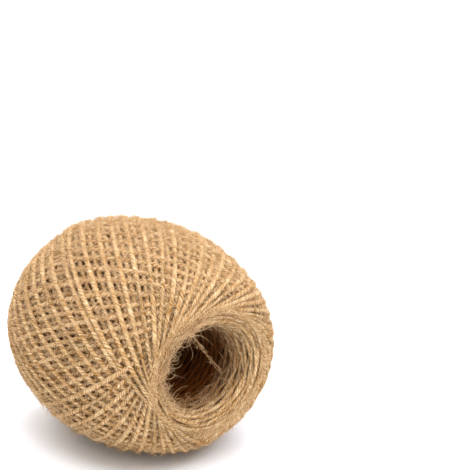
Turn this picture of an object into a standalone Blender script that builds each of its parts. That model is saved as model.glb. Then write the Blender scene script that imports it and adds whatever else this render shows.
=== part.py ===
"""A ball of jute twine, cross-wound on a mandrel that was drawn out, lying on its side.

Every turn of the winding lies in a leaning plane. It crosses the barrel of the ball twice and turns
back close to the lip round the hole at each end. The turns of one layer step evenly round the ball, so they
cross each other in a net, and the net's knots and pits are raised in the points of the outer side.

The ball is turned about Z and then laid down along Y. Its near hole faces -Y, and it stands on a small
flat spot with its origin in the middle of the bottom of its box.
"""

import math

import bmesh
import bpy
from mathutils import Matrix

# Sizes in metres.
BALL_WIDTH = 0.100        # across the waist, level with the ground
BALL_LENGTH = 0.0981      # along the hole, from lip to lip
LIP_DIAMETER = 0.0471     # circle along the top of the lip round the hole
HOLE_DIAMETER = 0.0314    # narrowest part of the hole
SAG = 0.93                # height over width, as the soft ball settles on its side
FLAT_DEPTH = 0.0025       # how far the ground presses the underside in

# The winding.
TURNS = 44                # strands of one layer, counted round the waist (an even number)
TURN_LEAN = 1.82          # travel along the hole for each unit across it, in a turn's own plane
NET_ROWS = 14             # crossings that still stand apart, counted from the waist towards one lip
LIP_ROWS = 3              # smooth rows between the net and the lip, where the strands lie side by side
PIT_DEPTH = 0.0024        # from the top of a crossing down into the gap between strands

# The shape of the sides.
BARREL_END = 2.26         # above 2, the outer side runs out flatter on to the lip
BARREL_SIDE = 1.86        # below 2, it leaves the waist a little sooner
FLARE = 2.5               # how late the hole widens towards its mouth
ROLL = 22                 # how sharply the lip rolls over into the hole
RING_ROWS = 6             # rows of the coils that show in the mouth of the hole
RING_DEPTH = 0.0013       # from the top of a coil down to the seam beside it
RING_REACH = 0.46         # share of the half length that those coils cover

TWINE_COLOUR = (0.52, 0.33, 0.16, 1.0)   # linear, pale straw tan
CREASE_ANGLE = math.radians(30)          # steeper edges of the net stay sharp when shaded

WAIST_RADIUS = BALL_WIDTH / 2
HALF_LENGTH = BALL_LENGTH / 2
LIP_RADIUS = LIP_DIAMETER / 2
HOLE_RADIUS = HOLE_DIAMETER / 2
COLUMNS = 2 * TURNS       # one column of points for each knot and one for each pit


def barrel_point(angle):
    """Radius and height of the outer side, from the lip (angle 0) to the waist (a quarter turn)."""
    radius = LIP_RADIUS + (WAIST_RADIUS - LIP_RADIUS) * math.sin(angle) ** (2 / BARREL_END)
    height = HALF_LENGTH * math.cos(angle) ** (2 / BARREL_SIDE)
    return radius, height


def barrel_angle(swing):
    """Where a turn is on the outer side once it has swung this far round the ball from the waist."""
    low, high = 0.0, math.pi / 2
    for _ in range(40):
        middle = (low + high) / 2
        radius, height = barrel_point(middle)
        if height > TURN_LEAN * radius * math.sin(swing):
            low = middle
        else:
            high = middle
    return high


def hole_radius(height):
    """Radius of the hole, which flares slowly along its length and rolls over into the lip."""
    share = abs(height) / HALF_LENGTH
    opened = (share ** FLARE + share ** ROLL) / 2
    return HOLE_RADIUS + (LIP_RADIUS - HOLE_RADIUS) * opened


def outer_rows():
    """Rows of the outer side from the upper lip to the waist: radius, height and depth of the pits."""
    net_step = math.pi / TURNS
    net_end = barrel_angle(NET_ROWS * net_step)
    rows = []
    for row in range(LIP_ROWS):
        rows.append((*barrel_point(net_end * row / LIP_ROWS), 0.0))
    for knot in range(NET_ROWS, -1, -1):
        swing = knot * net_step
        rows.append((*barrel_point(barrel_angle(swing)), PIT_DEPTH * math.cos(swing)))
    return rows


def hole_rows():
    """Rows of the hole from the upper lip to the middle: radius, height and no pits."""
    rows = [(hole_radius(HALF_LENGTH), HALF_LENGTH, 0.0)]
    for row in range(1, RING_ROWS + 1):
        height = HALF_LENGTH * (1 - RING_REACH * row / RING_ROWS)
        seam = RING_DEPTH if row % 2 else 0.0
        rows.append((hole_radius(height) + seam, height, 0.0))
    rows.append((hole_radius(0.0), 0.0, 0.0))
    return rows


def both_halves(rows):
    """The rows of the upper half, and their mirror image below the middle."""
    return rows + [(radius, -height, depth) for radius, height, depth in reversed(rows[:-1])]


def turned_mesh(rows):
    """The closed outline given by the rows, turned about Z into a ring of COLUMNS columns."""
    outline = bpy.data.meshes.new("outline")
    points = [(radius, 0.0, height) for radius, height, _ in rows]
    edges = [(row, (row + 1) % len(rows)) for row in range(len(rows))]
    outline.from_pydata(points, edges, [])
    turned = bpy.data.objects.new("outline", outline)
    bpy.context.scene.collection.objects.link(turned)
    screw = turned.modifiers.new("turn about the hole", "SCREW")
    screw.axis = "Z"
    screw.angle = math.tau
    screw.steps = COLUMNS
    screw.render_steps = COLUMNS
    screw.use_merge_vertices = True
    screw.merge_threshold = 0.00001
    mesh = bpy.data.meshes.new_from_object(turned.evaluated_get(bpy.context.evaluated_depsgraph_get()))
    bpy.data.objects.remove(turned)
    return mesh


def column_of(vert):
    """Number of the column that a point of the turned mesh stands in."""
    return round(math.atan2(vert.co.y, vert.co.x) / math.tau * COLUMNS) % COLUMNS


def raise_net(mesh_edit, rows_of, depths):
    """Push the pits in between the crossings, and crease each cell of the net from knot to knot."""
    mesh_edit.normal_update()
    pits = []
    for vert, row in rows_of.items():
        if depths[row] and (column_of(vert) + row) % 2:
            pits.append((vert, vert.normal * depths[row]))
    for vert, push in pits:
        vert.co -= push
    low = {vert for vert, _ in pits}
    for face in list(mesh_edit.faces):
        knots = [vert for vert in face.verts if vert not in low]
        if len(knots) == 2:
            bmesh.utils.face_split(face, *knots)


def halve_columns(mesh_edit, rows_of, first_row):
    """Weld every second column of the hole to its neighbour, as its coils need fewer points."""
    in_hole = {}
    for vert, row in rows_of.items():
        if row >= first_row:
            in_hole[(row, column_of(vert))] = vert
    pairs = {vert: in_hole[(row, column - 1)] for (row, column), vert in in_hole.items() if column % 2}
    bmesh.ops.weld_verts(mesh_edit, targetmap=pairs)


def lay_down(mesh_edit):
    """Tip the ball over so that its hole lies along Y, let it sag, and press its underside flat."""
    bmesh.ops.rotate(mesh_edit, verts=mesh_edit.verts, matrix=Matrix.Rotation(math.pi / 2, 3, "X"))
    bmesh.ops.scale(mesh_edit, verts=mesh_edit.verts, vec=(1.0, 1.0, SAG))
    bmesh.ops.translate(mesh_edit, verts=mesh_edit.verts, vec=(0.0, 0.0, SAG * WAIST_RADIUS - FLAT_DEPTH))
    for vert in mesh_edit.verts:
        vert.co.z = max(vert.co.z, 0.0)


def twine_material():
    """Natural jute: dry, matt, pale tan."""
    material = bpy.data.materials.new("natural jute twine")
    material.use_nodes = True
    shader = material.node_tree.nodes["Principled BSDF"]
    shader.inputs["Base Color"].default_value = TWINE_COLOUR
    shader.inputs["Roughness"].default_value = 0.95
    shader.inputs["Metallic"].default_value = 0.0
    return material


def twine_ball(collection):
    """The wound ball as one solid with its hole right through."""
    outer = both_halves(outer_rows())
    hole = both_halves(hole_rows())
    # The two lips are the first and last rows of the outer side, so the hole's own are left out.
    rows = outer + hole[-2:0:-1]
    mesh = turned_mesh(rows)

    mesh_edit = bmesh.new()
    mesh_edit.from_mesh(mesh)
    mesh_edit.verts.ensure_lookup_table()
    rows_of = {vert: vert.index % len(rows) for vert in mesh_edit.verts}
    raise_net(mesh_edit, rows_of, [depth for _, _, depth in rows])
    halve_columns(mesh_edit, rows_of, len(outer))
    lay_down(mesh_edit)
    mesh_edit.to_mesh(mesh)
    mesh_edit.free()

    mesh.name = "twine_ball"
    mesh.materials.clear()
    mesh.materials.append(twine_material())
    mesh.shade_smooth()
    mesh.set_sharp_from_angle(angle=CREASE_ANGLE)
    ball = bpy.data.objects.new("twine_ball", mesh)
    collection.objects.link(ball)
    return ball


for old in list(bpy.data.objects):
    bpy.data.objects.remove(old)

ball_of_twine = bpy.data.collections.new("ball of twine")
bpy.context.scene.collection.children.link(ball_of_twine)
twine_ball(ball_of_twine)
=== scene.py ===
"""A ball of natural jute twine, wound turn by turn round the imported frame."""

import math

import bpy
import numpy as np
from mathutils import Matrix, Vector


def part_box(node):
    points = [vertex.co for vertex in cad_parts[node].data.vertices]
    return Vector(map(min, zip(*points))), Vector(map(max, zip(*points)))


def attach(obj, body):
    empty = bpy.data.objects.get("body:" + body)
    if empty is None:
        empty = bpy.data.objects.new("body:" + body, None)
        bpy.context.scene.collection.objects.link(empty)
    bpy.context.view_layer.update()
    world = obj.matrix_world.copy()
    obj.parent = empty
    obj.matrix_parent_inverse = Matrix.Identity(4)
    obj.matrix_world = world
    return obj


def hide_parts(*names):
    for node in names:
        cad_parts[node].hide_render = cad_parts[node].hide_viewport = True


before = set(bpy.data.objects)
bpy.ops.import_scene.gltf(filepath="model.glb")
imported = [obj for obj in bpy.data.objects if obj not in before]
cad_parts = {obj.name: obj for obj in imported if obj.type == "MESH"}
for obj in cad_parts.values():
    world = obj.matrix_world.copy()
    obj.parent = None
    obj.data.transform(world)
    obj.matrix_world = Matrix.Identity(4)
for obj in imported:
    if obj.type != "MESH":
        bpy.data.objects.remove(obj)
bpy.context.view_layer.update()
low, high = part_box("twine_ball")
bpy.ops.object.select_all(action="DESELECT")


# ---------------------------------------------------------------------------------------------
# The photograph's view. The camera looks down on the ball from the left of its hole, through a
# long lens, and the ball lies low and to the left in the frame.
# ---------------------------------------------------------------------------------------------
SAG = 0.93                                   # height over width of the settled ball
WAIST = (high.x - low.x) / 2                 # radius across the waist
middle = Vector(((low.x + high.x) / 2, (low.y + high.y) / 2, high.z - SAG * WAIST))

AZIMUTH = math.radians(-34.44)
ELEVATION = math.radians(21.94)
CAMERA_AWAY = 0.9                            # metres from the middle of the ball
PICTURE_WIDTH = 0.19415                      # metres of the scene across the picture, at the ball
BALL_LEFT, BALL_DOWN = 0.03947, 0.04068      # the ball's middle from the picture's, in metres
SENSOR_MM = 36.0

back = Vector((math.sin(AZIMUTH) * math.cos(ELEVATION), -math.cos(AZIMUTH) * math.cos(ELEVATION),
               math.sin(ELEVATION)))
right = Vector((math.cos(AZIMUTH), math.sin(AZIMUTH), 0))
up = back.cross(right)
bpy.ops.object.camera_add(location=middle + back * CAMERA_AWAY)
camera = bpy.context.object
camera.name = "camera"
camera.data.sensor_width = SENSOR_MM
camera.data.lens = SENSOR_MM * CAMERA_AWAY / PICTURE_WIDTH
camera.data.clip_start = 0.01
aim = middle + right * BALL_LEFT + up * BALL_DOWN - camera.location
square_on = Matrix((right, up, back)).transposed().to_quaternion()
camera.rotation_euler = ((-back).rotation_difference(aim) @ square_on).to_euler()
bpy.context.scene.camera = camera


# ---------------------------------------------------------------------------------------------
# The stage: a sheet of white background paper under four large soft lights. The strongest hangs over
# the ball, a little towards its near mouth, and the others fill from the left, from the front and from
# behind. It is no part of the ball.
# ---------------------------------------------------------------------------------------------
def linear(hex_colour):
    """An sRGB hex colour as the linear RGBA that a shader wants."""
    channels = [int(hex_colour[i:i + 2], 16) / 255 for i in (1, 3, 5)]
    return [c / 12.92 if c <= 0.04045 else ((c + 0.055) / 1.055) ** 2.4 for c in channels] + [1.0]


PAPER_WHITE = "#F3F5F9"
PAPER_SIDE = 6.0                             # metres
ROOM_LIGHT = 0.26                            # strength of the light that comes from all around
SOFTBOX_SIDE = 1.2                           # metres
# Each softbox: its name, its place from the ball in metres, its watts and its colour.
SOFTBOXES = [("softbox overhead", (0.15, -0.25, 0.85), 16.2, "#F4F8FF"),
             ("softbox left", (-0.60, -0.15, 0.55), 3.0, "#FFFAF4"),
             ("softbox front", (-0.12, -0.80, 0.44), 5.6, "#FFF8F0"),
             ("softbox behind", (0.05, 0.65, 0.60), 9.5, "#FFFFFF")]

# White background paper, rolled out and uncoated: an even, matt white.
paper = bpy.data.materials.new("white paper, matt")
paper.use_nodes = True
paper.node_tree.nodes["Principled BSDF"].inputs["Base Color"].default_value = linear(PAPER_WHITE)
paper.node_tree.nodes["Principled BSDF"].inputs["Roughness"].default_value = 0.85
bpy.ops.mesh.primitive_plane_add(size=PAPER_SIDE)
floor = bpy.context.object
floor.name = "floor"
floor.data.materials.append(paper)

world = bpy.data.worlds.new("studio")
bpy.context.scene.world = world
world.use_nodes = True
world.node_tree.nodes["Background"].inputs["Color"].default_value = linear("#FFFFFF")
world.node_tree.nodes["Background"].inputs["Strength"].default_value = ROOM_LIGHT
for name, place_from_ball, watts, colour in SOFTBOXES:
    bpy.ops.object.light_add(type="AREA", location=middle + Vector(place_from_ball))
    light = bpy.context.object
    light.name = name
    light.data.size = SOFTBOX_SIDE
    light.data.energy = watts
    light.data.color = linear(colour)[:3]
    light.rotation_euler = (-Vector(place_from_ball)).to_track_quat("-Z", "Y").to_euler()
bpy.context.scene.view_settings.view_transform = "Standard"


# ---------------------------------------------------------------------------------------------
# The heart: the first layers of jute twine, wound tight on the mandrel and packed too close to tell
# apart, as one closed ring a few millimetres under the ball's form. It shows at the bottom of the gaps.
# All lengths in the winding are in millimetres until a mesh is made.
# ---------------------------------------------------------------------------------------------
MM = 0.001
WAIST_MM = WAIST / MM
HOLE_MM = 15.7                               # radius of the hole's narrow part
HALF_MM = (high.y - low.y) / 2 / MM          # half the ball's length along its hole
LIP_MM = 23.55                               # radius of the top of the lip
BARREL_END, BARREL_SIDE = 2.26, 1.86         # fullness of the outer side at its ends and its waist
FLARE, ROLL = 2.5, 22                        # how late the hole opens, how sharply its lip rolls over
STEP = 0.4                                   # between the points along the ball's outline
SOFTENED = 3                                 # points each way over which its corners are evened out

angle = np.linspace(0, math.pi / 2, 600)
barrel_radius = LIP_MM + (WAIST_MM - LIP_MM) * np.sin(angle) ** (2 / BARREL_END)
barrel_along = HALF_MM * np.cos(angle) ** (2 / BARREL_SIDE)
bore_along = np.linspace(0, HALF_MM, 400)
opened = ((bore_along / HALF_MM) ** FLARE + (bore_along / HALF_MM) ** ROLL) / 2
bore_radius = HOLE_MM + (LIP_MM - HOLE_MM) * opened
outline = np.array([np.concatenate((bore_radius, barrel_radius[1:], barrel_radius[-2::-1],
                                    bore_radius[-2::-1])),
                    np.concatenate((-bore_along, -barrel_along[1:], barrel_along[-2::-1],
                                    bore_along[-2::-1]))])


def evenly(line):
    """The closed line through these points again, in even steps and with its corners softened."""
    gone = np.concatenate(([0], np.cumsum(np.hypot(*np.diff(line)))))
    count = round(gone[-1] / STEP)
    spots = np.arange(count) * gone[-1] / count
    points = np.array([np.interp(spots, gone, values) for values in line])
    shifts = range(-SOFTENED, SOFTENED + 1)
    return sum(np.roll(points, shift, axis=1) for shift in shifts) / len(shifts)


form_radius, form_along = evenly(outline)
ROWS = len(form_radius)
form_at = np.arange(ROWS + 1) * STEP
ROUND_FORM = ROWS * STEP
slope_radius = np.roll(form_radius, -1) - np.roll(form_radius, 1)
slope_along = np.roll(form_along, -1) - np.roll(form_along, 1)
slope = np.hypot(slope_radius, slope_along)
out_radius, out_along = slope_along / slope, -slope_radius / slope
near_lip, far_lip = form_along.argmin(), form_along.argmax()
NEAR_LIP_AT, FAR_LIP_AT = near_lip * STEP, far_lip * STEP


def along_form(at, values):
    """Values of the ball's outline at these distances along it."""
    return np.interp(at % ROUND_FORM, form_at, np.append(values, values[0]))


PRESSED = 1.15                               # lowest height of a strand's middle over the ground
PRESS_SOFT = 0.8                             # how gently the strands come down to that height


def spun(turn, radius, along):
    """Points in space: angle round the hole, distance from its middle and place along it."""
    x = radius * np.cos(turn)
    z = radius * np.sin(turn) * SAG + middle.z / MM
    z = PRESSED + PRESS_SOFT * np.logaddexp(0, (z - PRESSED) / PRESS_SOFT)
    return np.stack((x + middle.x / MM, along + middle.y / MM, z), axis=1)


def add(tree, kind, inputs=None, **settings):
    """Adds a node, with its settings, and its inputs by name or number, as a value or as a link."""
    made = tree.nodes.new(kind)
    for name, value in settings.items():
        setattr(made, name, value)
    for name, value in (inputs or {}).items():
        if isinstance(value, bpy.types.NodeSocket):
            tree.links.new(value, made.inputs[name])
        else:
            made.inputs[name].default_value = value
    return made.outputs


DARK_STREAK, STRAW, PALE_STREAK = "#8E5F24", "#CAA26E", "#ECD3AB"
GROOVE_SHADE_BROWN = "#805210"                     # painted shade down between two plies
PAINTED_SHADE_BROWN = "#552902"                  # painted shade: in the gaps, on the strands' lower sides, under other turns and down the hole
STREAK_LONG, STREAK_WIDE = 2.8, 0.38         # one bundle of fibres. Real ones are about 0.1 mm wide, and
                                             # these are drawn coarser so that they show
PATCH_LONG, PATCH_WEIGHT = 22.0, 0.2         # length of strand of one tint, and how much it counts
TINT_RANGE = (0.51, 0.69)                    # of the noise, from the dark streaks to the pale ones
GROOVE_EDGE, GROOVE_MOST = 1.6, 0.33         # how late the painted groove shade sets in, and how strong it is
BUNDLE_RELIEF = 0.0004                       # metres from the top of a bundle to the gap beside it


def natural_jute():
    """Natural jute twine: the undyed fibre, spun and plied, with no wax or polish on it. That makes it
    dry and matt, streaked pale and dark along its fibres. Painted shade darkens it to a deeper brown in
    the grooves between its plies, where other turns cover it, on the strands' lower sides and down the
    hole.
    """
    material = bpy.data.materials.new("natural jute, spun and plied")
    material.use_nodes = True
    tree = material.node_tree
    shader = tree.nodes["Principled BSDF"]
    shader.inputs["Roughness"].default_value = 0.9
    shader.inputs["Specular IOR Level"].default_value = 0.12
    fibre = add(tree, "ShaderNodeAttribute", attribute_name="fibre")["Vector"]
    groove = add(tree, "ShaderNodeAttribute", attribute_name="groove")["Fac"]
    stretched = add(tree, "ShaderNodeMapping", {"Vector": fibre, "Scale": (
        1 / STREAK_LONG, 1 / STREAK_WIDE, 1 / STREAK_WIDE)}, vector_type="POINT")["Vector"]
    streak = add(tree, "ShaderNodeTexNoise", {"Vector": stretched, "Scale": 1.0, "Detail": 4.0,
                                              "Roughness": 0.65})["Fac"]
    lengthwise = add(tree, "ShaderNodeMapping", {"Vector": fibre, "Scale": (
        1 / PATCH_LONG, 0.0, 0.0)}, vector_type="POINT")["Vector"]
    patch = add(tree, "ShaderNodeTexNoise", {"Vector": lengthwise, "Scale": 1.0, "Detail": 2.0})["Fac"]
    tint = add(tree, "ShaderNodeMath", {0: patch, 1: PATCH_WEIGHT, 2: streak},
               operation="MULTIPLY_ADD")["Value"]
    tint = add(tree, "ShaderNodeMapRange", {"Value": tint, "From Min": TINT_RANGE[0],
                                            "From Max": TINT_RANGE[1]})["Result"]
    ramp = tree.nodes.new("ShaderNodeValToRGB")
    tree.links.new(tint, ramp.inputs["Fac"])
    ramp.color_ramp.elements[0].color = linear(DARK_STREAK)
    ramp.color_ramp.elements[1].color = linear(PALE_STREAK)
    ramp.color_ramp.elements.new(0.5).color = linear(STRAW)
    # Painted shade: a brown mixed in towards the grooves between the plies.
    depth = add(tree, "ShaderNodeMath", {0: groove, 1: GROOVE_EDGE}, operation="POWER")["Value"]
    depth = add(tree, "ShaderNodeMath", {0: depth, 1: GROOVE_MOST}, operation="MULTIPLY")["Value"]
    colour = add(tree, "ShaderNodeMix", {0: depth, 6: ramp.outputs["Color"], 7: linear(GROOVE_SHADE_BROWN)},
                 data_type="RGBA", blend_type="MIX")[2]
    # Painted shade: a dark brown mixed in wherever the mesh's painted shade attribute asks for it.
    painted_shade = add(tree, "ShaderNodeAttribute", attribute_name="painted_shade")["Fac"]
    colour = add(tree, "ShaderNodeMix", {0: painted_shade, 6: colour, 7: linear(PAINTED_SHADE_BROWN)},
                 data_type="RGBA", blend_type="MIX")[2]
    tree.links.new(colour, shader.inputs["Base Color"])
    bump = add(tree, "ShaderNodeBump", {"Height": streak, "Strength": 0.9,
                                        "Distance": BUNDLE_RELIEF})["Normal"]
    tree.links.new(bump, shader.inputs["Normal"])
    return material


def jute_mesh(name, points, faces, fibre, groove, painted_shade):
    """One mesh from points in millimetres, with what the jute material reads at each of them."""
    mesh = bpy.data.meshes.new(name)
    mesh.from_pydata(points * MM, [], faces)
    mesh.attributes.new("fibre", "FLOAT_VECTOR", "POINT").data.foreach_set("vector", fibre.ravel())
    for label, values in (("groove", groove), ("painted_shade", painted_shade)):
        mesh.attributes.new(label, "FLOAT", "POINT").data.foreach_set("value", values.astype(float))
    mesh.shade_smooth()
    piece = bpy.data.objects.new(name, mesh)
    bpy.context.scene.collection.objects.link(piece)
    return piece


def dress(piece, material):
    """Gives a piece of the winding its material, and its place in the frame."""
    piece.data.materials.append(material)
    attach(piece, "root")
    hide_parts("twine_ball")


HEART_DEPTH = 3.3                            # under the form
HEART_SPINE = 28.0                           # half the length of the line that it shrinks towards
HEART_COLUMNS, HEART_STEP = 100, 2.4         # points round the hole, and millimetres between its rows
HEART_PAINTED_SHADE = 0.7                          # how much painted shade it has

jute = natural_jute()
heart_at = np.linspace(0, ROUND_FORM, round(ROUND_FORM / HEART_STEP), endpoint=False)
heart_radius, heart_along = along_form(heart_at, form_radius), along_form(heart_at, form_along)
in_radius = (WAIST_MM + HOLE_MM) / 2 - heart_radius
in_along = np.clip(heart_along, -HEART_SPINE, HEART_SPINE) - heart_along
inwards = HEART_DEPTH / np.hypot(in_radius, in_along)
heart_turn = np.arange(HEART_COLUMNS) / HEART_COLUMNS * math.tau
heart_turns = np.repeat(heart_turn, len(heart_at))
heart_points = spun(heart_turns, np.tile(heart_radius + inwards * in_radius, HEART_COLUMNS),
                    np.tile(heart_along + inwards * in_along, HEART_COLUMNS))
column, row = np.divmod(np.arange(len(heart_points)), len(heart_at))
after_column, after_row = (column + 1) % HEART_COLUMNS, (row + 1) % len(heart_at)
heart_faces = np.stack([c * len(heart_at) + r for c, r in (
    (column, row), (after_column, row), (after_column, after_row), (column, after_row))], axis=1)
heart_fibre = np.stack((heart_turns * WAIST_MM, np.tile(heart_at, HEART_COLUMNS),
                        np.zeros(len(heart_points))), axis=1)
# The heart is given painted shade all over.
dress(jute_mesh("heart", heart_points, heart_faces.tolist(), heart_fibre, np.zeros(len(heart_points)),
                np.full(len(heart_points), HEART_PAINTED_SHADE)), jute)


# ---------------------------------------------------------------------------------------------
# The turns in the mouths and along the hole: jute twine of 2 mm, three plies twisted together, wound
# on the mandrel and left standing open when it was drawn out. Each turn is laid over what is already
# there, so they cross as real ones do.
# ---------------------------------------------------------------------------------------------
STRAND = 1.0                                 # radius of the twine


def place(turn, at, height):
    """Points in space: angle round the hole, distance along the outline and height over it."""
    return spun(turn, along_form(at, form_radius) + height * along_form(at, out_radius),
                along_form(at, form_along) + height * along_form(at, out_along))


COLUMNS = 600                                # places round the hole where the pile's height is kept
OFFSETS = np.linspace(-0.96, 0.96, 11) * STRAND     # places across a strand where it may touch the pile
RISES = np.sqrt(STRAND ** 2 - OFFSETS ** 2)  # how far its surface is from its middle there
LAY_STEP, FINE_STEP = 0.4, 0.2               # between the points of a strand, and of one in the hole
LEVEL_ROWS, EASED = 4, 3                     # steps over which the pile's mean and a strand are smoothed
BITE = 0.75                                  # how far a strand presses into what it lies on
TAUT, TAUT_REACH = 14.0, 7.0                 # radius of its bend over a crossing, and that bend's reach
CROWDED_RADIUS = (24.0, 27.0, 34.0)          # near the lip the strands are squeezed side by side, so
CROWDED_HEIGHT = (0.6, 1.1, 2.4)             # they can't ride this far over the mean of the pile
pile = np.zeros((ROWS, COLUMNS))             # height of what is wound so far, over the whole form
random = np.random.default_rng(11)


def cells(turn, at):
    """Rows and columns of the pile at these places."""
    return (np.rint(at / STEP).astype(int) % ROWS,
            np.rint(turn / math.tau * COLUMNS).astype(int) % COLUMNS)


def smooth(values, steps):
    """The values averaged twice over this many steps each way."""
    window = np.ones(2 * steps + 1) / (2 * steps + 1)
    for _ in range(2):
        values = np.convolve(np.pad(values, steps, mode="edge"), window, mode="valid")
    return values


def lay(turn, at):
    """Lays a strand along this route, taut over the pile, adds it to the pile, and gives its height."""
    radius = along_form(at, form_radius)
    round_step, along_step = np.gradient(turn) * radius, np.gradient(at)
    length = np.hypot(round_step, along_step) + 1e-9
    level = smooth(pile.mean(axis=1), LEVEL_ROWS)
    touch = np.full(len(turn), -np.inf)
    beside = []
    for off, rise in zip(OFFSETS, RISES):
        row, column = cells(turn - off * along_step / length / radius, at + off * round_step / length)
        touch = np.maximum(touch, pile[row, column] - level[row] + rise)
        beside.append((row, column, rise))
    taut = touch.copy()
    for shift in range(1, int(TAUT_REACH / LAY_STEP)):
        dip = (shift * LAY_STEP) ** 2 / (2 * TAUT)
        taut[shift:] = np.maximum(taut[shift:], touch[:-shift] - dip)
        taut[:-shift] = np.maximum(taut[:-shift], touch[shift:] - dip)
    outside = np.abs(at % ROUND_FORM - ROUND_FORM / 2) < FAR_LIP_AT - ROUND_FORM / 2
    room = np.interp(np.where(outside, radius, 0), CROWDED_RADIUS, CROWDED_HEIGHT)
    height = smooth(np.minimum(taut - BITE, room), EASED)
    for row, column, rise in beside:
        np.maximum.at(pile, (row, column), height + level[row] + rise)
    return height + along_form(at, level)


def wander(places, every, size):
    """A smooth seeded drift, with a new value every so many millimetres."""
    knots = random.normal(0, size, int(places[-1] / every) + 3)
    whole = (places / every).astype(int)
    part = places / every - whole
    part = part * part * (3 - 2 * part)
    return knots[whole] * (1 - part) + knots[whole + 1] * part


def stepped(turn, at, step=LAY_STEP):
    """The route again with its points one step apart."""
    radius = along_form((at[1:] + at[:-1]) / 2, form_radius)
    gone = np.concatenate(([0], np.cumsum(np.hypot(np.diff(turn) * radius, np.diff(at)))))
    spots = np.arange(0, gone[-1], step)
    return np.interp(spots, gone, turn), np.interp(spots, gone, at), spots


PLIES = 3
LAY_LENGTH = 6.0                             # length of strand for one twist of the plies
RINGS_A_TWIST = 7                            # cross-sections in that length
PLY_RADIUS, GROOVE_RADIUS = 1.13, 0.98       # of the twine at a ply and between two plies
TWIST_DRIFT = (45, 0.9)                      # every so many millimetres, radians by which it is off
SLUB_LONG, SLUB_SHORT = (17, 0.06), (3, 0.04)       # thick and thin places: how often, and by what share
STRAND_END = 0.6                             # thickness of a strand's ends
NEXT_STRAND = 37.0                           # so that no strand has the streaks of the one before
TIGHT_RADIUS, TIGHT = (24.0, 38.0), (0.74, 1.0)     # round the hole the twine is pulled tight and thin
FLANK_SHADE_FROM, FLANK_SHADE_MOST = 0.55, 0.70               # from here down, a strand's side is in the shade of the next strand, and gets up to this much painted shade
                                             # strand, and has up to this much of the inside's colour
TOP_SHADE_LIFTED, HIGH_UP = 0.8, 4                   # share of the painted shade taken off at the very top of the ball, where light falls into the gaps, and how near to the top that begins
                                             # and how near to the top that begins


def twine_tubes(name, strands, plies=PLIES, rings_a_twist=RINGS_A_TWIST, thickness=STRAND):
    """One mesh of closed tubes of twisted plies, from each strand's points, outward ways and painted
    shade.
    """
    verts, faces, fibre, groove, painted_shade = [], [], [], [], []
    sides = 2 * plies
    corner = np.arange(sides)
    around = corner / sides * math.tau
    swell = np.where(corner % 2, GROOVE_RADIUS, PLY_RADIUS)
    first, began = 0, 0.0
    for points, outwards, given_shade in strands:
        gone = np.concatenate(([0], np.cumsum(np.linalg.norm(np.diff(points, axis=0), axis=1))))
        rings = max(int(gone[-1] / LAY_LENGTH * rings_a_twist), 5)
        spots = np.linspace(0, gone[-1], rings)
        line = np.stack([np.interp(spots, gone, points[:, axis]) for axis in range(3)], axis=1)
        upward = np.stack([np.interp(spots, gone, outwards[:, axis]) for axis in range(3)], axis=1)
        ahead = np.gradient(line, axis=0)
        ahead /= np.linalg.norm(ahead, axis=1)[:, None]
        aside = np.cross(ahead, upward)
        aside /= np.linalg.norm(aside, axis=1)[:, None]
        upward = np.cross(aside, ahead)
        turned = ((spots + began) / LAY_LENGTH * math.tau + wander(spots, *TWIST_DRIFT))[:, None] + around
        from_axis = np.hypot(line[:, 0], (line[:, 2] - middle.z / MM) / SAG)
        thick = thickness * np.interp(from_axis, TIGHT_RADIUS, TIGHT)
        thick *= 1 + wander(spots, *SLUB_LONG) + wander(spots, *SLUB_SHORT)
        thick[[0, -1]] *= STRAND_END
        reach = thick[:, None] * swell
        ring = (line[:, None, :] + (reach * np.cos(turned))[:, :, None] * aside[:, None, :]
                + (reach * np.sin(turned))[:, :, None] * upward[:, None, :])
        ring[:, :, 2] = np.maximum(ring[:, :, 2], 0)
        verts.append(ring.reshape(-1, 3))
        lengthwise = np.repeat(spots[:, None] + began, sides, axis=1)
        across = np.broadcast_to(np.stack((np.cos(around), np.sin(around))), (rings, 2, sides))
        fibre.append(np.stack((lengthwise, across[:, 0], across[:, 1]), axis=2).reshape(-1, 3))
        groove.append(np.tile(corner % 2, rings))
        # Painted shade on a strand's lower side, at least what it was given, and less of it towards the
        # top of the ball, where light falls into the gaps.
        flank_shade = FLANK_SHADE_MOST * np.clip((FLANK_SHADE_FROM - np.sin(turned)) / (2 * FLANK_SHADE_FROM), 0, 1)
        shade_kept = 1 - TOP_SHADE_LIFTED * np.clip(line[:, 2] / (high.z / MM), 0, 1) ** HIGH_UP
        strand_shade = np.maximum(np.interp(spots, gone, given_shade)[:, None], flank_shade)
        painted_shade.append((strand_shade * shade_kept[:, None]).ravel())
        here = first + np.arange(rings - 1)[:, None] * sides
        after = (corner + 1) % sides
        quads = np.stack((here + corner, here + sides + corner, here + sides + after, here + after), 2)
        faces += quads.reshape(-1, 4).tolist()
        faces.append((first + corner).tolist())
        faces.append((first + (rings - 1) * sides + corner[::-1]).tolist())
        first += rings * sides
        began += gone[-1] + NEXT_STRAND
    return jute_mesh(name, np.concatenate(verts), faces, np.concatenate(fibre), np.concatenate(groove),
                     np.concatenate(painted_shade))


LINING_TURNS = 16                            # turns each way along the hole
LINING_REACH = 31.0                          # from the middle of the hole to their ends
LINING_SWING = math.radians(115)             # how far round the hole each goes
LINING_OFF = (0.8, 0.04)                     # how far off its place it is, along the hole and round it


def strand_of(turn, at, height):
    """Points of a strand, and the directions out of the ball there."""
    points = place(turn, at, height)
    return points, place(turn, at, height + 1) - points


hole_strands = []
for number in range(2 * LINING_TURNS):
    way = 1 if number % 2 else -1
    share = np.linspace(-1, 1, 160)
    at = share * LINING_REACH + random.normal(0, LINING_OFF[0])
    turn = number // 2 * math.tau / LINING_TURNS + way * LINING_SWING / 2 * share
    turn, at, _ = stepped(turn + random.normal(0, LINING_OFF[1]), at, FINE_STEP)
    hole_strands.append((turn, at, lay(turn, at)))

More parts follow.
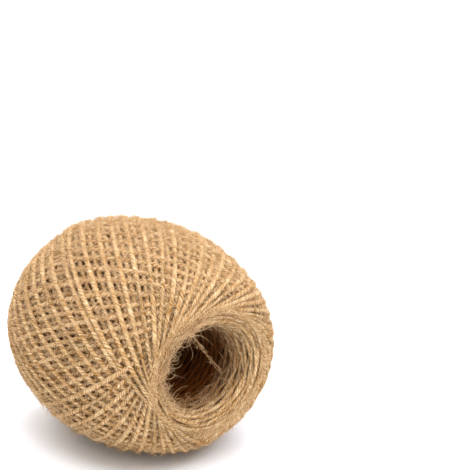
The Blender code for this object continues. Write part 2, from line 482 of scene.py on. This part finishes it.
MOUTH_TURNS = 200                            # turns that show in each mouth and down the hole
MOUTH_RISE = (6.0, 12.0)                     # how far outwards such a turn has come from, along the wall
MOUTH_SWING = (60, 95)                       # degrees that it goes round the hole on the way
MOUTH_LAST, MOUTH_END = 1.5, 6.0             # how far past the lip the last one turns back, and they end
MOUTH_CROWDS = 0.9                           # below 1, more of them turn back near the lip
MOUTH_BACK, MOUTH_DIVE = (0.72, 0.28), 2.4   # share of it that shows, share that goes under, how deep
DEEPEST = 1.0                                # distance from the middle of the hole to the deepest one
GOLDEN = math.pi * (3 - math.sqrt(5))        # each turn starts this far round from the one before
mouth_strands = {"near": [], "far": []}
for mouth, lip_at, way in (("near", NEAR_LIP_AT, 1), ("far", ROUND_FORM - FAR_LIP_AT, -1)):
    for number in range(MOUTH_TURNS):
        share = number / (MOUTH_TURNS - 1)
        apex = DEEPEST + (lip_at + MOUTH_LAST - DEEPEST) * share ** MOUTH_CROWDS
        swing = np.linspace(-1, 0.4, 200)
        at = apex + random.uniform(*MOUTH_RISE) * swing ** 2
        seen = at < lip_at + MOUTH_END
        turn = way * (number * GOLDEN + swing * math.radians(random.uniform(*MOUTH_SWING)))
        turn, at, spots = stepped(turn[seen], way * at[seen], FINE_STEP)
        back_under = np.clip((spots / spots[-1] - MOUTH_BACK[0]) / MOUTH_BACK[1], 0, 1) ** 2 * MOUTH_DIVE
        mouth_strands[mouth].append((turn, at, lay(turn, at) - back_under))


CROWN = 88                                   # per cent of the pile that lies below the ball's top


def crown_of(rows):
    """How high the tops of the strands reach over the form, at each place along these rows of it."""
    return smooth(np.percentile(pile[rows], CROWN, axis=1), LEVEL_ROWS)


PROUD = 0.6                                  # how far a strand may stand out of the ball's top
DEPTH_SQUASH = 0.5                           # how much of its depth a covered strand keeps
UNDER_THE_LIP = 2.6                          # how far a mouth turn's end dives under the outer turns
COVERED_FROM, COVERED_OVER = 1.0, 4.0        # where that begins past the lip, and how gently
SHADE_DEPTH, SHADE_MOST = 5.0, 0.35      # a strand this far down gets this much painted shade
SHADE_LATE = 1.5                           # and above 1, most of that comes near the bottom
OPEN_MOUTH, HOLE_SHADE_REACH = 3.0, 18.0            # how far into the hole the painted shade starts, and how far on it is full


def sunk(height, crown):
    """Height over the form of a laid strand, pressed in until the ball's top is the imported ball's."""
    depth = np.minimum(height - crown + STRAND, PROUD)
    return np.where(depth < 0, depth * DEPTH_SQUASH, depth) - STRAND


LIP_ROWS = 3                                 # rows of the form past each lip that count as the mouth's
mouth_rows = np.concatenate((np.arange(far_lip - LIP_ROWS, ROWS), np.arange(near_lip + LIP_ROWS + 1)))
mouth_crown = crown_of(mouth_rows)
mouth_at = (mouth_rows - ROWS * (mouth_rows > ROWS // 2)) * STEP


def in_hole(at):
    """Signed distance from the middle of the hole along the form."""
    return (at + ROUND_FORM / 2) % ROUND_FORM - ROUND_FORM / 2


def mouth_crown_at(at):
    """How high the tops of the mouth turns reach over the form at these places."""
    return np.interp(in_hole(at), mouth_at, mouth_crown)


def past_lip(at):
    """How far these places are past the nearer lip, outwards."""
    return np.maximum(in_hole(at) - NEAR_LIP_AT, (FAR_LIP_AT - ROUND_FORM) - in_hole(at))


def packed(strands):
    """The strands of the hole, pressed in, with their ends under the outer turns, and their painted
    shade.
    """
    made = []
    for turn, at, height in strands:
        depth = sunk(height, mouth_crown_at(at))
        # Painted shade for strands deep under others and down the hole.
        painted_shade = np.clip(-(depth + STRAND) / SHADE_DEPTH, 0, 1) ** SHADE_LATE * SHADE_MOST
        past = np.clip((past_lip(at) - COVERED_FROM) / COVERED_OVER, 0, 1)
        depth -= UNDER_THE_LIP * past * past * (3 - 2 * past)
        painted_shade = np.maximum(painted_shade, np.clip((-past_lip(at) - OPEN_MOUTH) / HOLE_SHADE_REACH, 0, 1))
        made.append((*strand_of(turn, at, depth), painted_shade))
    return made


near_mouth, far_mouth = packed(mouth_strands["near"]), packed(mouth_strands["far"])
dress(twine_tubes("hole_turns", packed(hole_strands), 2, 4), jute)
dress(twine_tubes("near_mouth_turns", near_mouth, PLIES, 6), jute)
dress(twine_tubes("far_mouth_turns", far_mouth, PLIES, 4), jute)


# ---------------------------------------------------------------------------------------------
# The outer turns: the last passes of the same jute twine, wound in leaning planes over the whole ball
# as the mandrel turned, so that they cross in a net. The first pass is laid and not drawn, because it
# never shows.
# ---------------------------------------------------------------------------------------------
TURNS = 44                                   # turns of one pass, counted round the waist
TURN_LEAN = (2.02, 1.82)                     # travel along the hole for each unit across it, the first
                                             # turn's and the last turn's
PASSES = 5
LAST_TURN = math.radians(316)                # where the last turn crosses the waist going up
LATE_TURNS = 14                              # turns of the last pass that lie over all the others
SHIFT = 0.42                                 # of the gap between turns, from one pass to the next
POINTS_A_TURN = 1200                         # before they are put one step apart
TURN_RADIUS = 52                             # about that of a turn, so far as its drift needs it
TURN_DRIFT, LONG_DRIFT = (60, 0.006), (330, 0.008)  # every so many millimetres, radians off its place
LEAN_DRIFT = (160, 0.012)                    # and every so many, the share by which its lean is off
JOINT = 15                                   # points each way over which two half turns are joined
PASS_SHADE = (0.8, 0.8, 0.7, 0.46, 0.0)    # share of painted shade, from the first pass on
APART, LEAST_APART = 14.0, 0.25              # the passes lie side by side near the lip, so the painted shade fades there
# The plies of each pass, and its cross-sections in one twist, from the top pass down.
FINENESS = [(PLIES, RINGS_A_TWIST), (PLIES, 4), (2, 3), (2, 3)]

swing = np.linspace(math.pi / 2, math.pi / 2 + math.tau * TURNS * PASSES, TURNS * PASSES * POINTS_A_TURN)
rough = (swing - swing[0]) * TURN_RADIUS
advance = (math.tau + math.tau / TURNS * (1 + SHIFT / TURNS)) / math.tau
turn = LAST_TURN + (swing - swing[-1]) * advance + math.pi / 2
turn = turn + wander(rough, *TURN_DRIFT) + wander(rough, *LONG_DRIFT)
lean = np.interp(swing, swing[[0, -1]], TURN_LEAN) * (1 + wander(rough, *LEAN_DRIFT))
outer = np.arange(near_lip, far_lip + 1)
reach = np.maximum.accumulate(form_along[outer] / form_radius[outer])
at = np.interp(np.sin(swing) * lean, reach, form_at[outer])
radius = along_form((at[1:] + at[:-1]) / 2, form_radius)
gone = np.concatenate(([0], np.cumsum(np.hypot(np.diff(turn) * radius, np.diff(at)))))
spots = np.arange(0, gone[-1], LAY_STEP)
turn, at, swing = (np.interp(spots, gone, values) for values in (turn, at, swing))
half = ((swing - math.pi / 2) // math.pi).astype(int)
height = np.zeros(len(turn))
ends = np.flatnonzero(np.diff(half)) + 1
halves = [slice(*span) for span in zip([0, *ends], [*ends, len(turn)])]
early = 2 * TURNS * (PASSES - 1)
top_halves = range(early, len(halves))
late = range(len(halves) - 2 * LATE_TURNS, len(halves))
order = [*range(early), *[n for n in top_halves if n not in late and n % 2],
         *[n for n in top_halves if n not in late and n % 2 == 0], *late]
for number in order:
    height[halves[number]] = lay(turn[halves[number]], at[halves[number]])
for joint in ends:
    first, last = max(joint - JOINT, 0), min(joint + JOINT, len(height) - 1)
    height[first:last + 1] = np.interp(np.arange(first, last + 1), [first, last],
                                       [height[first], height[last]])
pass_of = half // (2 * TURNS)

# Painted shade for the covered passes, less where they lie side by side near the lip.
apart = np.clip((along_form(at, form_radius) - LIP_MM) / APART, LEAST_APART, 1)
wound = (*strand_of(turn, at, sunk(height, np.interp(at, form_at[outer], crown_of(outer)))),
         np.array(PASS_SHADE)[pass_of] * apart)
for number in range(1, PASSES):
    here = np.flatnonzero(pass_of == number)
    top = number == PASSES - 1
    parts = 2 if top else 1
    for part, span in enumerate(np.array_split(here, parts)):
        span = np.append(span, min(span[-1] + 1, len(turn) - 1))
        name = "outer_turns_" + "ab"[part] if top else "turns_under_%d" % (PASSES - 1 - number)
        strand = [values[span] for values in wound]
        dress(twine_tubes(name, [strand], *FINENESS[PASSES - 1 - number]), jute)


# ---------------------------------------------------------------------------------------------
# The slack turn: one turn of the same jute twine that sprang loose when the mandrel was drawn out. It
# cuts straight across the near mouth, and both its ends run on under the turns of the wall.
# ---------------------------------------------------------------------------------------------
SLACK_TURN = [(122, 21.5, -43.5), (106, 17.2, -42.0), (45, 5.6, -40.5), (-32, 17.6, -37.0),
              (-40, 20.5, -36.0)]            # degrees round the hole, distance from its middle, along it
SLACK_THICK = 0.76                           # it is stretched, and so thinner than the rest
SLACK_DRIFT = (9, 0.55)                      # every so many millimetres, so far off the line
SLACK_EASED = 5                              # points each way over which its corners are evened out
SLACK_SHADE = 0.85                         # how much painted shade it has
SLACK_FACES = (0.01, -8.0, 0)                # its outward way leans towards the mouth by this much

slack_turn = np.radians([turn for turn, _, _ in SLACK_TURN])
slack_radius = np.array([radius for _, radius, _ in SLACK_TURN])
corners = np.stack((slack_radius * np.cos(slack_turn), [along for _, _, along in SLACK_TURN],
                    slack_radius * np.sin(slack_turn) * SAG + middle.z / MM), axis=1)
gone = np.concatenate(([0], np.cumsum(np.linalg.norm(np.diff(corners, axis=0), axis=1))))
spots = np.arange(0, gone[-1], LAY_STEP)
line = np.stack([smooth(np.interp(spots, gone, corners[:, axis]), SLACK_EASED) for axis in range(3)],
                axis=1)
line += np.stack([wander(spots, *SLACK_DRIFT) for _ in range(3)], axis=1)
to_axis = -line * (1, 0, 1) + (0, 0, middle.z / MM) + SLACK_FACES
# The slack turn is given painted shade all along.
slack = line, to_axis / np.linalg.norm(to_axis, axis=1)[:, None], np.full(len(line), SLACK_SHADE)
dress(twine_tubes("slack_turn", [slack], thickness=SLACK_THICK), jute)


# ---------------------------------------------------------------------------------------------
# Stray fibres: jute is spun from short stiff fibres, and their ends work loose and stand out of the
# strands all over the ball. Each is a thin three-sided spike, straight or bent a little, and at the
# left edge of the near mouth it curls.
# ---------------------------------------------------------------------------------------------
LEAST_LOOSE, MORE_LOOSE, STANDS_UP = 0.3, 1.2, 4.0  # loose fibre low down, what the top has over that,
                                                    # and how near to the top that begins
RUBBED, SPARED = 2.0, 13.0                   # round the hole it is pulled tight and rubbed off, but not
                                             # from what lies nearer to the middle than this
SIDEWAYS = 1.3                               # radians from straight out at which a fibre may stand
LEAST_LIFT = 0.05                            # how little it may lift off
BENT_AWAY, BENT_ASIDE = 0.3, 0.4             # share of its length that its tip is bent, as a rule
SPREAD, SHORTEST, LONGEST = 0.5, 0.7, 2.4    # of the lengths: spread, least, and most over the usual one
ROOTED = 0.95                                # share of the strand's radius at which a fibre leaves it
LOWEST = 0.15                                # height over the ground that no fibre goes under
FIBRE_RADIUS = (0.045, 0.11)                 # where it leaves the strand. Real fibres are thinner, and
                                             # these are drawn coarser so that they show
THINS_OUT = 0.8                              # share of that lost towards the tip
STRAIGHT, BOWED = (0.0, 1.0), (0.0, 0.4, 0.75, 1.0)     # the shares of a fibre's length at which its
CURLED = tuple(np.linspace(0, 1, 10))                   # points stand, from its root to its tip
COIL = (4, 9)                                # radians that a curled fibre turns


def jute_fibre():
    """Single jute fibres, undyed, that came loose in spinning and winding. Each is smooth and stands
    free in the light, so it is paler than the twine and a little glossy.
    """
    material = bpy.data.materials.new("jute fibres, loose")
    material.use_nodes = True
    shader = material.node_tree.nodes["Principled BSDF"]
    shader.inputs["Base Color"].default_value = linear("#D8B384")
    shader.inputs["Roughness"].default_value = 0.6
    return material


def unit(vectors):
    """The vectors, each made one long."""
    return vectors / np.linalg.norm(vectors, axis=1)[:, None]


def fibres_on(strands, count, length, most_lift, stray):
    """Fibres from random places on these strands: their roots, ways, bends and lengths."""
    points = np.concatenate([strand[0] for strand in strands])
    out = np.concatenate([strand[1] for strand in strands])
    along = unit(np.concatenate([np.gradient(strand[0], axis=0) for strand in strands]))
    worth = LEAST_LOOSE + MORE_LOOSE * np.maximum(points[:, 2] / (high.z / MM), 0) ** STANDS_UP
    from_axis = np.hypot(points[:, 0], (points[:, 2] - middle.z / MM) / SAG)
    worth *= np.maximum(from_axis, SPARED) ** RUBBED
    pick = random.choice(len(points), count, p=worth / worth.sum())
    points, out = points[pick], out[pick]
    along = along[pick] * random.choice([-1, 1], count)[:, None]
    aside = np.cross(along, out)
    side = random.uniform(-SIDEWAYS, SIDEWAYS, count)[:, None]
    away = out * np.cos(side) + aside * np.sin(side)
    lift = random.uniform(LEAST_LIFT, most_lift, count)[:, None]
    ways = unit(along + aside * random.normal(0, stray, (count, 1)) + away * lift)
    bends = away * random.normal(0, BENT_AWAY, (count, 1))
    bends = bends + aside * random.normal(0, BENT_ASIDE, (count, 1))
    lengths = np.clip(random.lognormal(math.log(length), SPREAD, count), SHORTEST, LONGEST * length)
    return points + away * STRAND * ROOTED, ways, bends, lengths


def fibre_spikes(name, groups, shares, curl):
    """One mesh of closed three-sided spikes, with a ring of points at each share but the tip's."""
    roots, ways, bends, lengths = [np.concatenate(values) for values in zip(*groups)]
    share = np.array(shares)[None, :, None]
    line = roots[:, None] + lengths[:, None, None] * (ways[:, None] * share + bends[:, None] * share ** 2)
    # Any two ways across the fibre and square to each other.
    aside = unit(np.cross(ways, np.roll(ways, 1, axis=1) + (0.1, 0.2, 0.3)))
    upright = np.cross(ways, aside)
    count = len(roots)
    coil = random.uniform(0, math.tau, (count, 1)) + random.uniform(*COIL, (count, 1)) * share[:, :, 0]
    coil = coil[:, :, None]
    line += curl * share * (np.cos(coil) * aside[:, None] + np.sin(coil) * upright[:, None])
    line[:, :, 2] = np.maximum(line[:, :, 2], LOWEST)
    corner = np.arange(3) / 3 * math.tau
    spoke = np.cos(corner)[:, None] * aside[:, None] + np.sin(corner)[:, None] * upright[:, None]
    thick = random.uniform(*FIBRE_RADIUS, count)[:, None] * (1 - THINS_OUT * share[:, :-1, 0] ** 2)
    rings = line[:, :-1, None] + spoke[:, None] * thick[:, :, None, None]
    verts = np.concatenate((rings.reshape(count, -1, 3), line[:, -1:]), axis=1)
    tip = verts.shape[1] - 1
    spike = [(0, 2, 1)] + [(tip - 3 + k, tip - 3 + (k + 1) % 3, tip) for k in range(3)]
    for ring in range(0, tip - 3, 3):
        spike += [(ring + k, ring + (k + 1) % 3, ring + 3 + (k + 1) % 3, ring + 3 + k) for k in range(3)]
    faces = [[first + corner for corner in face] for first in range(0, (tip + 1) * count, tip + 1)
             for face in spike]
    mesh = bpy.data.meshes.new(name)
    mesh.from_pydata(verts.reshape(-1, 3) * MM, [], faces)
    mesh.shade_smooth()
    piece = bpy.data.objects.new(name, mesh)
    bpy.context.scene.collection.objects.link(piece)
    return piece


FUZZY_FROM = 112                             # the first mouth turn whose loose fibres show
EDGE_ROUND = (95, 235)                       # degrees round the hole where curled fibres grow
EDGE_IN, EDGE_UNDER = 3.0, 0.6               # how far inside the lip and under the form their roots are

loose_fibre = jute_fibre()
top = [[values[pass_of == PASSES - 1] for values in wound]]
below = [[values[pass_of == PASSES - 2] for values in wound]]
rim_turn, rim_at, _ = stepped(np.radians(np.linspace(*EDGE_ROUND, 200)),
                              np.full(200, NEAR_LIP_AT - EDGE_IN))
hole_edge = strand_of(rim_turn, rim_at, np.full(len(rim_turn), -EDGE_UNDER))
# Each piece: its name, its shares and its curl, and for each group of its fibres the strands that they
# stand on, their count, usual length and most lift, and how far they stray from the strand's way.
LOOSE_FIBRES = [
    ("fuzz_a", BOWED, 0.0, [(top, 6000, 2.5, 1.8, 0.3)]),
    ("fuzz_b", BOWED, 0.0, [(top, 3000, 2.6, 0.4, 1.2)]),
    ("short_fuzz", STRAIGHT, 0.0, [(top, 26000, 1.8, 1.5, 0.9), (below, 12000, 1.3, 1.2, 0.9)]),
    ("mouth_fuzz", BOWED, 0.0, [(near_mouth[FUZZY_FROM:], 1400, 2.0, 1.2, 0.3),
                                (far_mouth[FUZZY_FROM:], 1400, 2.0, 1.2, 0.3),
                                ([slack], 150, 1.4, 0.45, 0.3)]),
    ("curled_fibres", CURLED, 1.5, [([hole_edge], 320, 3.9, 1.2, 0.6)])]
for name, shares, curl, groups in LOOSE_FIBRES:
    dress(fibre_spikes(name, [fibres_on(*group) for group in groups], shares, curl), loose_fibre)
